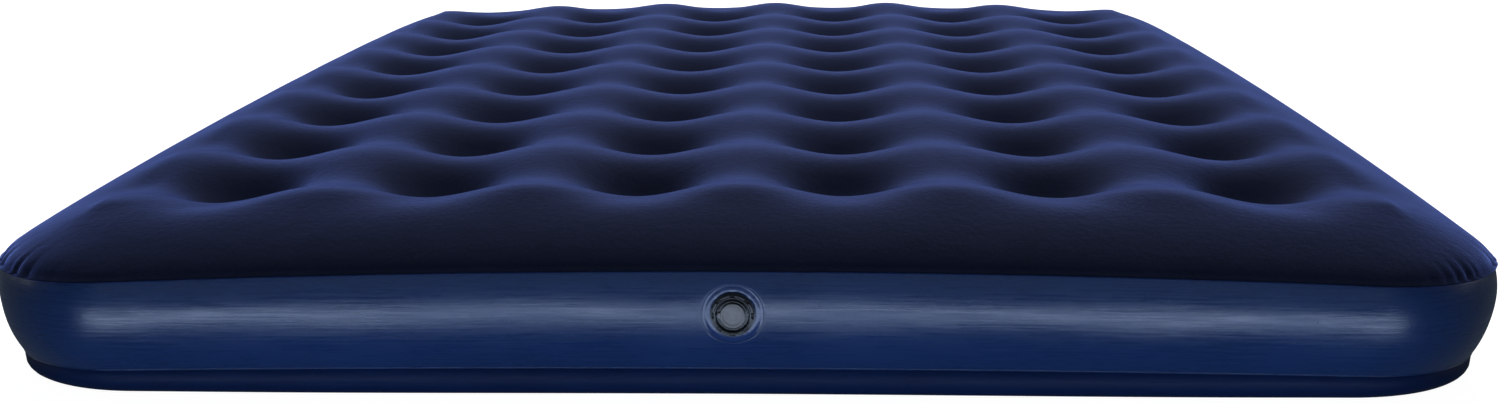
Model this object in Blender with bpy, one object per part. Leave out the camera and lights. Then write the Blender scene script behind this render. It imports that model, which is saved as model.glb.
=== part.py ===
"""Queen-size air mattress: a flocked top sheet, a vinyl side band and a vinyl bottom sheet,
held together inside by a grid of coil beams, with a two-in-one screw valve in the front wall.

Units are metres.  +Z is up, +X is right, the wall with the valve faces -Y, and the origin is on
the floor under the middle of the mattress.
"""
import math

import bmesh
import bpy

# ---- driving dimensions -------------------------------------------------------------------
WIDTH = 1.52                 # across, at the widest bulge of the side wall
LENGTH = 2.03                # head to foot, at the widest bulge
CORNER_RADIUS = 0.150        # of the outline, seen from above
WALL_HOLLOW = 0.012          # how far the middle of each wall stands back from its corners
CREST = 0.190                # highest point of the sleeping surface
CROWN = 0.008                # how much lower the crests are towards the edges
SADDLE = 0.014               # how far the ridge dips between two neighbouring coil beams
GAP = 0.0003                 # between pieces that touch

TOP_THICKNESS = 0.0008       # vinyl film with its flock
FILM_THICKNESS = 0.0005      # plain vinyl film
FLANGE = 0.006               # width of the welded edge, turned inwards

# ---- coil beams ---------------------------------------------------------------------------
COLUMNS = 6
ROWS = 8
PITCH = 0.2165               # between beams, both ways
BEAM_RADIUS = 0.035
BEAM_SIDES = 8
WELD_RADIUS = 0.040          # flat disc of sheet that the end of a beam is welded to
TOP_WELD = 0.138             # height of the upper weld discs
BOTTOM_WELD = 0.018          # height of the lower weld discs
FOOT_RADIUS = 0.078          # where the underside leaves the floor around a beam

# ---- side wall ----------------------------------------------------------------------------
TOP_SEAM = 0.132             # height of the weld between top sheet and side band
TOP_SEAM_DROOP = 0.008       # how much lower that weld runs at the corners
TOP_SEAM_INSET = 0.004
LOW_SEAM = 0.030             # height of the weld between side band and bottom sheet
LOW_SEAM_DROOP = 0.002
LOW_SEAM_INSET = 0.018
BAND_BULGE = 0.0097          # how far the band swells out between its two welds
BAND_STEPS = (0.0, 0.09, 0.30, 0.53, 0.755, 1.0)
SHOULDER = ((0.014, 0.147), (0.038, 0.164), (0.072, 0.177))    # top sheet: inset, height
HEM = ((0.026, 0.014), (0.042, 0.003), (0.060, 0.0))           # bottom sheet: inset, height
SIDE_STEP = 0.22             # between outline points along a long wall
END_STOPS = (0.054, 0.22, 0.40)                                # outline points along an end wall
CORNER_STEPS = 6

# ---- valve, measured from the flat patch of the side band: radius, depth inwards ------------
VALVE_HEIGHT = 0.089
PATCH_INSET = 0.003          # the stiff collar holds the band flat here
HOLE_RADIUS = 0.0295
VALVE_SIDES = 24
COLLAR = ((32.0, 0.8), (32.0, 1.8), (24.5, 1.8), (22.6, 3.2), (22.6, 14.0), (20.0, 14.0),
          (20.0, -0.6), (25.0, -0.6), (26.6, 0.8))
VALVE_BODY = ((21.6, -3.0), (21.6, -0.9), (19.7, -0.9), (19.7, 21.0), (15.4, 21.0),
              (15.4, 19.6), (17.5, 19.6), (17.5, -3.0))
GASKET = ((20.6, -4.3), (20.6, -3.3), (17.9, -3.3), (17.9, -4.3))
SCREW_CAP = ((20.4, -6.6), (20.4, -4.6), (17.2, -4.6), (17.2, 4.5), (15.2, 4.5), (15.2, -1.4),
             (9.7, -1.4), (9.7, 6.5), (7.5, 6.5), (7.5, -4.4), (9.9, -4.4), (9.9, -3.0),
             (15.8, -3.0), (16.6, -6.6))
CAP_GRIPS = 8                # notches round the rim of the screw cap
GRIP_DEPTH = 0.0012
SEAT_RADIUS = 0.0172
SEAT_OPENING = 0.0115
SEAT_FRONT = 0.0130
SEAT_DEPTH = 0.0015
SEAT_SPOKE = 0.0024
FLAP_RADIUS = 0.0130
FLAP_FRONT = 0.0148
FLAP_DEPTH = 0.0008
PLUG_RADIUS = 0.0120
PLUG_STEM = 0.0069
PLUG_FRONT = -0.0066
PLUG_UNDERSIDE = -0.0047
PLUG_TIP = -0.0011
PLUG_PIVOT = (-0.0145, -0.0056)      # of its strap: across from the valve's axis, and in depth
STRAP_WIDTH = 0.0050
ANCHOR_SIZE = (0.0016, 0.0030)       # the lug on the cap that the strap is moulded to
ANCHOR_TOP = -0.0051
ANCHOR_ROOT = -0.0025

MM = 0.001


# ---- small helpers ------------------------------------------------------------------------
def clear_scene():
    for old in list(bpy.data.objects):
        bpy.data.objects.remove(old, do_unlink=True)


def make_material(name, colour, roughness):
    material = bpy.data.materials.new(name)
    material.use_nodes = True
    shader = material.node_tree.nodes["Principled BSDF"]
    shader.inputs["Base Color"].default_value = (*colour, 1.0)
    shader.inputs["Roughness"].default_value = roughness
    shader.inputs["Metallic"].default_value = 0.0
    return material


def add_object(name, bm, material, location=(0.0, 0.0, 0.0), closed=True):
    """Turn a bmesh into a named, smooth-shaded object.  Closed ones get outward faces."""
    if closed:
        bmesh.ops.recalc_face_normals(bm, faces=bm.faces)
    mesh = bpy.data.meshes.new(name)
    bm.to_mesh(mesh)
    bm.free()
    mesh.shade_smooth()
    mesh.set_sharp_from_angle(angle=math.radians(40))
    thing = bpy.data.objects.new(name, mesh)
    thing.location = location
    if material is not None:
        mesh.materials.append(material)
    bpy.context.scene.collection.objects.link(thing)
    return thing


def add_solidify(thing, thickness):
    """Grow a surface inwards into a film of even thickness."""
    modifier = thing.modifiers.new("film", "SOLIDIFY")
    modifier.thickness = thickness
    modifier.offset = -1.0
    modifier.use_even_offset = True
    modifier.use_rim = True


def add_boolean(thing, other, operation):
    modifier = thing.modifiers.new(operation.lower(), "BOOLEAN")
    modifier.operation = operation
    modifier.solver = "EXACT"
    modifier.object = other
    other.hide_render = True
    other.display_type = "WIRE"


def lathe(profile_mm, sides, scallop=None):
    """Turn a closed (radius, depth) outline in millimetres about the Y axis.

    scallop(side, radius) may return another radius, to notch a rim.
    """
    bm = bmesh.new()
    rings = []
    for radius_mm, depth_mm in profile_mm:
        ring = []
        for side in range(sides):
            radius = radius_mm * MM
            if scallop:
                radius = scallop(side, radius)
            angle = 2 * math.pi * side / sides
            ring.append(bm.verts.new((radius * math.cos(angle), depth_mm * MM,
                                      radius * math.sin(angle))))
        rings.append(ring)
    for ring, following in zip(rings, rings[1:] + rings[:1]):
        for a in range(sides):
            b = (a + 1) % sides
            bm.faces.new((ring[a], ring[b], following[b], following[a]))
    return bm


def drum(stations, sides):
    """A solid turned about the Y axis from (radius, depth) stations, with flat ends."""
    bm = bmesh.new()
    rings = []
    for radius, depth in stations:
        ring = []
        for side in range(sides):
            angle = 2 * math.pi * side / sides
            ring.append(bm.verts.new((radius * math.cos(angle), depth, radius * math.sin(angle))))
        rings.append(ring)
    for ring, following in zip(rings, rings[1:]):
        for a in range(sides):
            b = (a + 1) % sides
            bm.faces.new((ring[a], ring[b], following[b], following[a]))
    bm.faces.new(rings[0])
    bm.faces.new(rings[-1])
    return bm


def block(low, high):
    bm = bmesh.new()
    bmesh.ops.create_cube(bm, size=1.0)
    for vert in bm.verts:
        for axis in range(3):
            middle = (low[axis] + high[axis]) / 2
            vert.co[axis] = middle + vert.co[axis] * (high[axis] - low[axis])
    return bm


# ---- the mattress outline -----------------------------------------------------------------
def hollow(along, half_run):
    """How far a wall stands back at a distance from its middle."""
    return WALL_HOLLOW * max(0.0, 1.0 - (along / half_run) ** 2)


def corner_share(x, y):
    """0 in the middle of a wall, nearly 1 at the corners."""
    return (x / (WIDTH / 2)) ** 2 * (y / (LENGTH / 2)) ** 2


def outline(inset):
    """Points round the mattress, anticlockwise from above, at a distance inside its bulge.

    inset may be a number, or a function of the point's place along the front wall.
    """
    at = inset if callable(inset) else (lambda x, y: inset)
    run_x = WIDTH / 2 - CORNER_RADIUS
    run_y = LENGTH / 2 - CORNER_RADIUS
    side_stops = [k * SIDE_STEP for k in range(-3, 4)]
    end_stops = [-s for s in reversed(END_STOPS)] + list(END_STOPS)
    points = []

    def corner(sign_x, sign_y, start):
        for step in range(CORNER_STEPS + 1):
            angle = start + (math.pi / 2) * step / CORNER_STEPS
            radius = CORNER_RADIUS - at(sign_x * WIDTH / 2, sign_y * LENGTH / 2)
            points.append((sign_x * run_x + radius * math.cos(angle),
                           sign_y * run_y + radius * math.sin(angle)))

    for x in end_stops:
        points.append((x, -(LENGTH / 2 - at(x, -LENGTH / 2) - hollow(x, run_x))))
    corner(1, -1, -math.pi / 2)
    for y in side_stops:
        points.append((WIDTH / 2 - at(WIDTH / 2, y) - hollow(y, run_y), y))
    corner(1, 1, 0.0)
    for x in reversed(end_stops):
        points.append((x, LENGTH / 2 - at(x, LENGTH / 2) - hollow(x, run_x)))
    corner(-1, 1, math.pi / 2)
    for y in reversed(side_stops):
        points.append((-(WIDTH / 2 - at(-WIDTH / 2, y) - hollow(y, run_y)), y))
    corner(-1, -1, math.pi)
    return points


def outline_ring(bm, inset, height, droop):
    """A ring of vertices on the outline, lower by droop towards the corners."""
    return [bm.verts.new((x, y, height - droop * corner_share(x, y)))
            for x, y in outline(inset)]


def bridge(bm, outer, inner):
    """Faces between two rings with the same number of points, facing away from the middle
    when the outer ring is the lower one."""
    count = len(outer)
    for a in range(count):
        b = (a + 1) % count
        bm.faces.new((outer[a], outer[b], inner[b], inner[a]))


def start_at_right(ring):
    """The same ring, beginning with its vertex nearest to the +X axis."""
    first = min(range(len(ring)), key=lambda k: abs(math.atan2(ring[k].co.y, ring[k].co.x)))
    return ring[first:] + ring[:first]


def zip_rings(bm, outer, inner):
    """Triangles between two rings with different numbers of points, both anticlockwise,
    each one taking the shorter way across."""
    outer = start_at_right(outer)
    inner = start_at_right(inner)
    outer.append(outer[0])
    inner.append(inner[0])
    faces = []
    a = b = 0
    while a + 1 < len(outer) or b + 1 < len(inner):
        outer_left = a + 1 < len(outer)
        inner_left = b + 1 < len(inner)
        if outer_left and inner_left:
            step_outer = (outer[a + 1].co - inner[b].co).length
            step_inner = (outer[a].co - inner[b + 1].co).length
            outer_left = step_outer <= step_inner
        if outer_left:
            faces.append(bm.faces.new((outer[a], outer[a + 1], inner[b])))
            a += 1
        else:
            faces.append(bm.faces.new((outer[a], inner[b + 1], inner[b])))
            b += 1
    return faces


# ---- the coil beam grid -------------------------------------------------------------------
def beam_centres():
    for row in range(ROWS):
        for column in range(COLUMNS):
            yield (row, column, (column - (COLUMNS - 1) / 2) * PITCH,
                   (row - (ROWS - 1) / 2) * PITCH)


def crest_height(x, y):
    fall = (x / (WIDTH / 2)) ** 2 + (y / (LENGTH / 2)) ** 2
    return CREST - CROWN * fall / 2


def octagon(bm, x, y, radius, z):
    return [bm.verts.new((x + radius * math.cos(k * math.pi / 4),
                          y + radius * math.sin(k * math.pi / 4), z)) for k in range(8)]


class Lattice:
    """Shared vertices on the grid lines between the beams, every half pitch."""

    def __init__(self, bm, height_of):
        self.bm = bm
        self.height_of = height_of
        self.verts = {}

    def vert(self, i, j):
        if (i, j) not in self.verts:
            x = i * PITCH / 2
            y = j * PITCH / 2
            self.verts[i, j] = self.bm.verts.new((x, y, self.height_of(i, j, x, y)))
        return self.verts[i, j]

    def border(self, step):
        """The lattice's own edge, anticlockwise from above, every step half pitches."""
        right, back = COLUMNS, ROWS
        keys = [(i, -back) for i in range(-right, right, step)]
        keys += [(right, j) for j in range(-back, back, step)]
        keys += [(i, back) for i in range(right, -right, -step)]
        keys += [(-right, j) for j in range(back, -back, -step)]
        return [self.vert(i, j) for i, j in keys]


AROUND = ((1, 0), (1, 1), (0, 1), (-1, 1), (-1, 0), (-1, -1), (0, -1), (1, -1))


# ---- sheets -------------------------------------------------------------------------------
def build_top_sheet(material):
    bm = bmesh.new()

    def height(i, j, x, y):
        on_corner = (i - COLUMNS) % 2 == 0 and (j - ROWS) % 2 == 0
        return crest_height(x, y) - (0.0 if on_corner else SADDLE)

    lattice = Lattice(bm, height)
    for row, column, x, y in beam_centres():
        disc = octagon(bm, x, y, WELD_RADIUS, TOP_WELD)
        middle = (2 * column - COLUMNS + 1, 2 * row - ROWS + 1)
        rim = [lattice.vert(middle[0] + di, middle[1] + dj) for di, dj in AROUND]
        bridge(bm, rim, disc)
        bm.faces.new(disc)
    seam = TOP_SEAM + GAP / 2
    flange = outline_ring(bm, TOP_SEAM_INSET + FLANGE, seam, TOP_SEAM_DROOP)
    edge = outline_ring(bm, TOP_SEAM_INSET, seam, TOP_SEAM_DROOP)
    bridge(bm, flange, edge)
    last = edge
    for step, (inset, z) in enumerate(SHOULDER):
        droop = TOP_SEAM_DROOP * (1 - (step + 1) / (len(SHOULDER) + 1))
        ring = outline_ring(bm, inset, z, droop)
        bridge(bm, last, ring)
        last = ring
    zip_rings(bm, last, lattice.border(1))
    sheet = add_object("top_sheet", bm, material, closed=False)
    add_solidify(sheet, TOP_THICKNESS)


def build_bottom_sheet(material):
    bm = bmesh.new()
    lattice = Lattice(bm, lambda i, j, x, y: 0.0)
    for row, column, x, y in beam_centres():
        foot = octagon(bm, x, y, FOOT_RADIUS, 0.0)
        disc = octagon(bm, x, y, WELD_RADIUS, BOTTOM_WELD)
        middle = (2 * column - COLUMNS + 1, 2 * row - ROWS + 1)
        corners = [lattice.vert(middle[0] + di, middle[1] + dj) for di, dj in AROUND[1::2]]
        for quarter in range(4):
            start = 2 * quarter + 1
            bm.faces.new((corners[quarter], foot[start], foot[(start + 1) % 8],
                          foot[(start + 2) % 8], corners[(quarter + 1) % 4]))
        bridge(bm, disc, foot)
        bm.faces.new(reversed(disc))
    seam = LOW_SEAM - GAP / 2
    flange = outline_ring(bm, LOW_SEAM_INSET + FLANGE, seam, LOW_SEAM_DROOP)
    edge = outline_ring(bm, LOW_SEAM_INSET, seam, LOW_SEAM_DROOP)
    bridge(bm, edge, flange)
    last = edge
    for step, (inset, z) in enumerate(HEM):
        droop = LOW_SEAM_DROOP * (1 - (step + 1) / len(HEM))
        ring = outline_ring(bm, inset, z, droop)
        bridge(bm, ring, last)
        last = ring
    for face in zip_rings(bm, last, lattice.border(2)):
        face.normal_flip()
    sheet = add_object("bottom_sheet", bm, material, closed=False)
    add_solidify(sheet, FILM_THICKNESS)


def band_inset(share):
    """The band's inset at a share of the way down from the top weld."""
    straight = TOP_SEAM_INSET + (LOW_SEAM_INSET - TOP_SEAM_INSET) * share
    return straight - BAND_BULGE * 4 * share * (1 - share)


def band_surface():
    """The whole band, from the flange of its top weld to the flange of its low weld."""
    bm = bmesh.new()
    rings = [outline_ring(bm, TOP_SEAM_INSET + FLANGE, TOP_SEAM - GAP / 2, TOP_SEAM_DROOP)]
    for share in BAND_STEPS:
        height = TOP_SEAM + (LOW_SEAM - TOP_SEAM) * share
        height += GAP / 2 * (2 * share - 1)
        droop = TOP_SEAM_DROOP + (LOW_SEAM_DROOP - TOP_SEAM_DROOP) * share

        def inset(x, y, share=share):
            beside_valve = abs(x) <= END_STOPS[0] and y < 0
            if beside_valve and 0.0 < share < 1.0:
                return PATCH_INSET
            return band_inset(share)

        rings.append(outline_ring(bm, inset, height, droop))
    rings.append(outline_ring(bm, LOW_SEAM_INSET + FLANGE, LOW_SEAM + GAP / 2, LOW_SEAM_DROOP))
    for upper, lower in zip(rings, rings[1:]):
        bridge(bm, lower, upper)
    return bm


def keep_share_of_band(bm, panel):
    """Leave only the panel round the valve, or only the rest, each drawn back half a gap."""
    unwanted = []
    for face in bm.faces:
        middle = face.calc_center_median()
        on_panel = abs(middle.x) < END_STOPS[0] and middle.y < 0
        if on_panel != panel:
            unwanted.append(face)
    bmesh.ops.delete(bm, geom=unwanted, context="FACES")
    drawn_back = END_STOPS[0] + (-GAP / 2 if panel else GAP / 2)
    for vert in bm.verts:
        if abs(abs(vert.co.x) - END_STOPS[0]) < 1e-6 and vert.co.y < 0:
            vert.co.x = math.copysign(drawn_back, vert.co.x)


def build_side_band(material):
    bm = band_surface()
    keep_share_of_band(bm, panel=False)
    band = add_object("side_band", bm, material, closed=False)
    add_solidify(band, FILM_THICKNESS)


def build_valve_panel(material, valve_origin):
    """The stiffer piece of band that is welded in round the valve."""
    bm = band_surface()
    keep_share_of_band(bm, panel=True)
    panel = add_object("valve_panel", bm, material, closed=False)
    add_solidify(panel, FILM_THICKNESS)
    hole = add_object("valve_hole_cutter", drum(((HOLE_RADIUS, -0.01), (HOLE_RADIUS, 0.01)), 32),
                      None, valve_origin)
    add_boolean(panel, hole, "DIFFERENCE")


def build_coil_beams(material):
    """Open tubes of film from the lower weld discs to the upper ones."""
    low = BOTTOM_WELD + FILM_THICKNESS + GAP
    high = TOP_WELD - TOP_THICKNESS - GAP
    walls = ((BEAM_RADIUS, low), (BEAM_RADIUS, high),
             (BEAM_RADIUS - FILM_THICKNESS, high), (BEAM_RADIUS - FILM_THICKNESS, low))
    for row, column, x, y in beam_centres():
        bm = bmesh.new()
        rings = []
        for radius, z in walls:
            rings.append([bm.verts.new((radius * math.cos(2 * math.pi * k / BEAM_SIDES),
                                        radius * math.sin(2 * math.pi * k / BEAM_SIDES),
                                        z - low)) for k in range(BEAM_SIDES)])
        for ring, following in zip(rings, rings[1:] + rings[:1]):
            bridge(bm, ring, following)
        add_object(f"coil_beam_r{row + 1}_c{column + 1}", bm, material, (x, y, low))


# ---- valve --------------------------------------------------------------------------------
def build_valve(origin, materials):
    add_object("valve_collar", lathe(COLLAR, VALVE_SIDES), materials["vinyl"], origin)
    add_object("valve_body", lathe(VALVE_BODY, VALVE_SIDES), materials["black"], origin)
    add_object("cap_gasket", lathe(GASKET, VALVE_SIDES), materials["rubber"], origin)
    build_flap_seat(origin, materials["black"])
    build_check_flap(origin, materials["rubber"])
    build_screw_cap(origin, materials["black"])
    build_centre_plug(origin, materials["grey"])


def build_screw_cap(origin, material):
    rim = SCREW_CAP[0][0] * MM
    sides_per_grip = VALVE_SIDES // CAP_GRIPS

    def scallop(side, radius):
        notched = side % sides_per_grip == 0 and abs(radius - rim) < 1e-6
        return radius - GRIP_DEPTH if notched else radius

    cap = add_object("screw_cap", lathe(SCREW_CAP, VALVE_SIDES, scallop), material, origin)
    half_x = ANCHOR_SIZE[0] / 2
    half_z = ANCHOR_SIZE[1] / 2
    lug = block((PLUG_PIVOT[0] - half_x, ANCHOR_TOP, -half_z),
                (PLUG_PIVOT[0] + half_x, ANCHOR_ROOT, half_z))
    anchor = add_object("strap_anchor_shape", lug, None, origin)
    add_boolean(cap, anchor, "UNION")


def build_centre_plug(origin, material):
    """The small plug, with its strap; its origin is on the strap's hinge."""
    pivot_x, pivot_y = PLUG_PIVOT
    stations = ((PLUG_RADIUS - 0.001, PLUG_FRONT), (PLUG_RADIUS, PLUG_FRONT + 0.0006),
                (PLUG_RADIUS, PLUG_UNDERSIDE), (PLUG_STEM, PLUG_UNDERSIDE), (PLUG_STEM, PLUG_TIP))
    bm = drum(stations, VALVE_SIDES)
    for vert in bm.verts:
        vert.co.x -= pivot_x
        vert.co.y -= pivot_y
    location = (origin[0] + pivot_x, origin[1] + pivot_y, origin[2])
    plug = add_object("centre_plug", bm, material, location)
    strap_bm = block((0.0004, -0.0005, -STRAP_WIDTH / 2), (0.0045, 0.0003, STRAP_WIDTH / 2))
    strap = add_object("plug_strap_shape", strap_bm, None, location)
    add_boolean(plug, strap, "UNION")


def build_flap_seat(origin, material):
    """A ring with two crossed spokes, which the flap closes against."""
    ring = lathe(((SEAT_RADIUS / MM, 0.0), (SEAT_RADIUS / MM, SEAT_DEPTH / MM),
                  (SEAT_OPENING / MM, SEAT_DEPTH / MM), (SEAT_OPENING / MM, 0.0)), VALVE_SIDES)
    location = (origin[0], origin[1] + SEAT_FRONT, origin[2])
    seat = add_object("flap_seat", ring, material, location)
    reach = (SEAT_RADIUS + SEAT_OPENING) / 2
    half = SEAT_SPOKE / 2
    inner = 0.0001
    for name, size in (("seat_spoke_across_shape", (reach, half)),
                       ("seat_spoke_upright_shape", (half, reach))):
        bar = block((-size[0], inner, -size[1]), (size[0], SEAT_DEPTH - inner, size[1]))
        add_boolean(seat, add_object(name, bar, None, location), "UNION")


def build_check_flap(origin, material):
    """The one-way flap; its origin is on its hinge, at its upper edge."""
    bm = drum(((FLAP_RADIUS, 0.0), (FLAP_RADIUS, FLAP_DEPTH)), VALVE_SIDES)
    for vert in bm.verts:
        vert.co.z -= FLAP_RADIUS
    location = (origin[0], origin[1] + FLAP_FRONT, origin[2] + FLAP_RADIUS)
    add_object("check_flap", bm, material, location)


def main():
    clear_scene()
    materials = {
        "flock": make_material("flocked_vinyl", (0.014, 0.019, 0.075), 0.95),
        "vinyl": make_material("blue_vinyl", (0.006, 0.022, 0.095), 0.38),
        "beam": make_material("beam_vinyl", (0.020, 0.040, 0.120), 0.45),
        "black": make_material("black_plastic", (0.010, 0.010, 0.011), 0.35),
        "grey": make_material("grey_plastic", (0.090, 0.090, 0.100), 0.45),
        "rubber": make_material("valve_rubber", (0.015, 0.015, 0.016), 0.60),
    }
    run_x = WIDTH / 2 - CORNER_RADIUS
    patch_y = -(LENGTH / 2 - PATCH_INSET - hollow(END_STOPS[0], run_x))
    valve_origin = (0.0, patch_y, VALVE_HEIGHT)
    build_top_sheet(materials["flock"])
    build_side_band(materials["vinyl"])
    build_valve_panel(materials["vinyl"], valve_origin)
    build_bottom_sheet(materials["vinyl"])
    build_coil_beams(materials["beam"])
    build_valve(valve_origin, materials)


main()
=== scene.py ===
"""Looks of the queen-size air mattress: flocked top, vinyl band and underside, and the valve.

Metres, +Z up.  The long side runs along Y, the valve is in the wall that faces -Y.
"""

import math

import bpy
import numpy as np
from mathutils import Matrix, Vector


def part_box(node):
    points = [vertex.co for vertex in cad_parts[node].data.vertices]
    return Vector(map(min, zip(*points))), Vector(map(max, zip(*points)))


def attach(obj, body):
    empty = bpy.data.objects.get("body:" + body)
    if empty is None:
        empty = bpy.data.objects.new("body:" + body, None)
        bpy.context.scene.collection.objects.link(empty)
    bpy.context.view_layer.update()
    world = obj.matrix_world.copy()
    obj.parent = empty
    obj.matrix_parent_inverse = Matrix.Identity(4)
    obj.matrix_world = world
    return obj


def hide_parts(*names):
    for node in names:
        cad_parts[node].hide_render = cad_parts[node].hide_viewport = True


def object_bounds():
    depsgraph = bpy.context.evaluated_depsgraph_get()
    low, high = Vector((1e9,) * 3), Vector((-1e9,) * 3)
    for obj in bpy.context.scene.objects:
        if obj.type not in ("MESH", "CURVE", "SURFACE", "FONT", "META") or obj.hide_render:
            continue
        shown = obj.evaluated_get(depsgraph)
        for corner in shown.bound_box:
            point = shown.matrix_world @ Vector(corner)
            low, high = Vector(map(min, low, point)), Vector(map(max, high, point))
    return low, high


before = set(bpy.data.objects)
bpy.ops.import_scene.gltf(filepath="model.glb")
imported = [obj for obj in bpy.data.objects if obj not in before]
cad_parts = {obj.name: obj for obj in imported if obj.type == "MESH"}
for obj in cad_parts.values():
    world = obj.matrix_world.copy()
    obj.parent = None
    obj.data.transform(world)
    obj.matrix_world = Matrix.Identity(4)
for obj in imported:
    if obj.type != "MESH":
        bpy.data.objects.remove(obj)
CAD_LOW, CAD_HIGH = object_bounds()
SEED = 11

# ---- sizes taken from the frame -----------------------------------------------------------
MM = 0.001
COLUMNS = 6
ROWS = 8
HALF_WIDTH = CAD_HIGH.x
HALF_LENGTH = CAD_HIGH.y
CREST = CAD_HIGH.z
FIRST_BEAM = (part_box("coil_beam_r1_c1")[0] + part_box("coil_beam_r1_c1")[1]) / 2
PITCH = 2 * abs(FIRST_BEAM.x) / (COLUMNS - 1)
BEAM_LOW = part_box("coil_beam_r1_c1")[0].z
BEAM_SINK = 0.0042           # a tube stops at least this far under the sheet over its rim
BEAM_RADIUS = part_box("coil_beam_r1_c1")[1].x - FIRST_BEAM.x
LOW_WELD = BEAM_LOW - 0.0008  # the underside is lifted to here under each tube
TOP_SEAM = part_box("side_band")[1].z
LOW_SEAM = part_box("bottom_sheet")[1].z
BAND_TOP = TOP_SEAM - 0.0014
BAND_LOW = LOW_SEAM + 0.0004
HEM_TOP = LOW_SEAM - 0.0004
COLLAR_LOW, COLLAR_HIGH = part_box("valve_collar")
VALVE = Vector(((COLLAR_LOW.x + COLLAR_HIGH.x) / 2, COLLAR_LOW.y + 0.6 * MM,
                (COLLAR_LOW.z + COLLAR_HIGH.z) / 2))

# ---- outline and walls --------------------------------------------------------------------
CORNER = 0.150               # radius of the outline's corners
END_HOLLOW = 0.012           # how far the middle of an end wall stands back
SIDE_HOLLOW = -0.002         # a long wall bulges a little instead
SEAM_DROOP = 0.015           # the top weld runs lower at the corners
LOW_DROOP = 0.002            # and the lower one as well, by less
TOP_INSET = 0.004            # how far inside the outline the two welds are
LOW_INSET = 0.018
BULGE = 0.0097               # how far the wall swells out between them
TUCK_INSET = TOP_INSET + 0.006   # the band's hidden upper edge, under the top sheet
LIP_INSET = LOW_INSET + 0.005    # the hidden edges of band and underside at the lower weld
HOLE_RADIUS = 29.5 * MM
PATCH_FLAT = 0.018           # the band is flat out to here around the valve
PATCH_BLEND = 0.033          # and follows its bulge again from here
PATCH_HALF = 0.0385          # half the square of the band that is meshed in rings round the hole
RUN_X = HALF_WIDTH - CORNER
RUN_Y = HALF_LENGTH - CORNER

# ---- sleeping surface ---------------------------------------------------------------------
STEPS = 20                   # mesh steps along one side of a dimple's square
REFINE = 4                   # finer steps near the weld
WELD_RADIUS = 0.030          # of the round welds at the bottom of the dimples
WAVE = 0.0135                # dip of a ridge between two neighbouring dimples
DIMPLE_REACH = 0.031         # how far the steep part of a dimple reaches from its weld
DIMPLE_POWER = 1.8
DIMPLE_DEPTH = 0.0245        # of the steep part alone
CROWN_ACROSS = 0.010         # fall of the crests towards the long walls
CROWN_ALONG = 0.004
CORNER_FALL = 0.028          # extra fall towards the four corners
SHOULDER_ROUND = (1.6, 0.741)
CORNER_FULLNESS = 0.35       # how much fuller the shoulder is at the corners
RIDGE_DIP = 0.0068           # mean depth of the outer ridge's waves
SOFT_STEPS = 4.0             # mesh steps that the shoulder's corners are rounded over
RIDGE_FADE = 0.042           # how far those waves carry on down the shoulder
PUCKER_DEPTH = 0.0026        # folds that run up from the top weld at the corners
PUCKER_LENGTH = 0.014
PUCKER_GAP = 0.024
PUCKER_PHASE = 0.4
HEM_REACH = 0.018            # the underside meets the floor this far in from its weld
HEM_REACH_CORNER = 0.100     # and at the corners
HEM_SQUARE = 3.4             # how square the underside turns up to its weld

# ---- rows of the meshes, as shares of the way or as (inset, rise) -------------------------
CELL_SHARES = 1 - (1 - np.linspace(0, 1, 14)[1:]) ** 1.45
DISC_RADII = (WELD_RADIUS - 0.0015, WELD_RADIUS - 0.004, 0.021, 0.014, 0.007)
SHOULDER_COARSE = np.linspace(0, 0.62, 8)[1:]
SHOULDER_FINE = (0.70, 0.78, 0.85, 0.905, 0.945, 0.975, 1.0)
SEAM_LIP = ((0.0026, 0.0002), (0.0024, -0.0006), (0.0032, -0.0012), (0.0080, -0.0012))
BAND_ROWS = 31
BAND_LIP = ((LOW_INSET - 0.0006, 0.0), (LOW_INSET - 0.0006, -0.0006), (LIP_INSET, -0.0007))
HOLE_SHARES = (0.18, 0.36, 0.54, 0.68, 0.80, 0.90, 1.0)
UNDER_RADII = (0.030, 0.014)
HEM_COARSE = (0.25, 0.5)
HEM_FINE = (0.62, 0.69, 0.74, 0.79, 0.84, 0.88, 0.92, 0.95, 0.975, 0.99, 1.0)

rng = np.random.default_rng(SEED)


# ---- mesh helpers -------------------------------------------------------------------------
def smoothstep(low, high, value):
    share = np.clip((value - low) / (high - low), 0.0, 1.0)
    return share * share * (3 - 2 * share)


class Surface:
    """Collects vertices and faces for one mesh."""

    def __init__(self):
        self.points = []
        self.faces = []
        self.count = 0

    def add(self, points):
        points = np.asarray(points, float).reshape(-1, 3)
        first = self.count
        self.points.append(points)
        self.count += len(points)
        return np.arange(first, self.count)

    def bridge(self, ring, following):
        """Quads between two rings of the same length."""
        for a in range(len(ring)):
            b = (a + 1) % len(ring)
            self.faces.append((ring[a], ring[b], following[b], following[a]))

    def join(self, ring, following, flip):
        if flip:
            ring, following = following, ring
        self.bridge(ring, following)

    def fan_out(self, fine, coarse, flip=False):
        """Faces from a coarse ring to one with a whole multiple of its vertices."""
        share = len(fine) // len(coarse)
        for a in range(len(coarse)):
            b = (a + 1) % len(coarse)
            run = [fine[(a * share + k) % len(fine)] for k in range(share + 1)]
            self.close((*run, coarse[b], coarse[a]), flip)

    def close(self, ring, flip=False):
        self.faces.append(tuple(reversed(ring)) if flip else tuple(ring))

    def build(self, name, material, sharp=None):
        mesh = bpy.data.meshes.new(name)
        points = np.concatenate(self.points)
        mesh.from_pydata(points.tolist(), [], [tuple(int(i) for i in f) for f in self.faces])
        mesh.validate()
        mesh.shade_smooth()
        if sharp:
            mesh.set_sharp_from_angle(angle=math.radians(sharp))
        thing = bpy.data.objects.new(name, mesh)
        mesh.materials.append(material)
        bpy.context.scene.collection.objects.link(thing)
        return thing


def finish_piece(thing, body, slot, *nodes):
    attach(thing, body)
    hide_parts(*nodes)
    return thing


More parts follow.
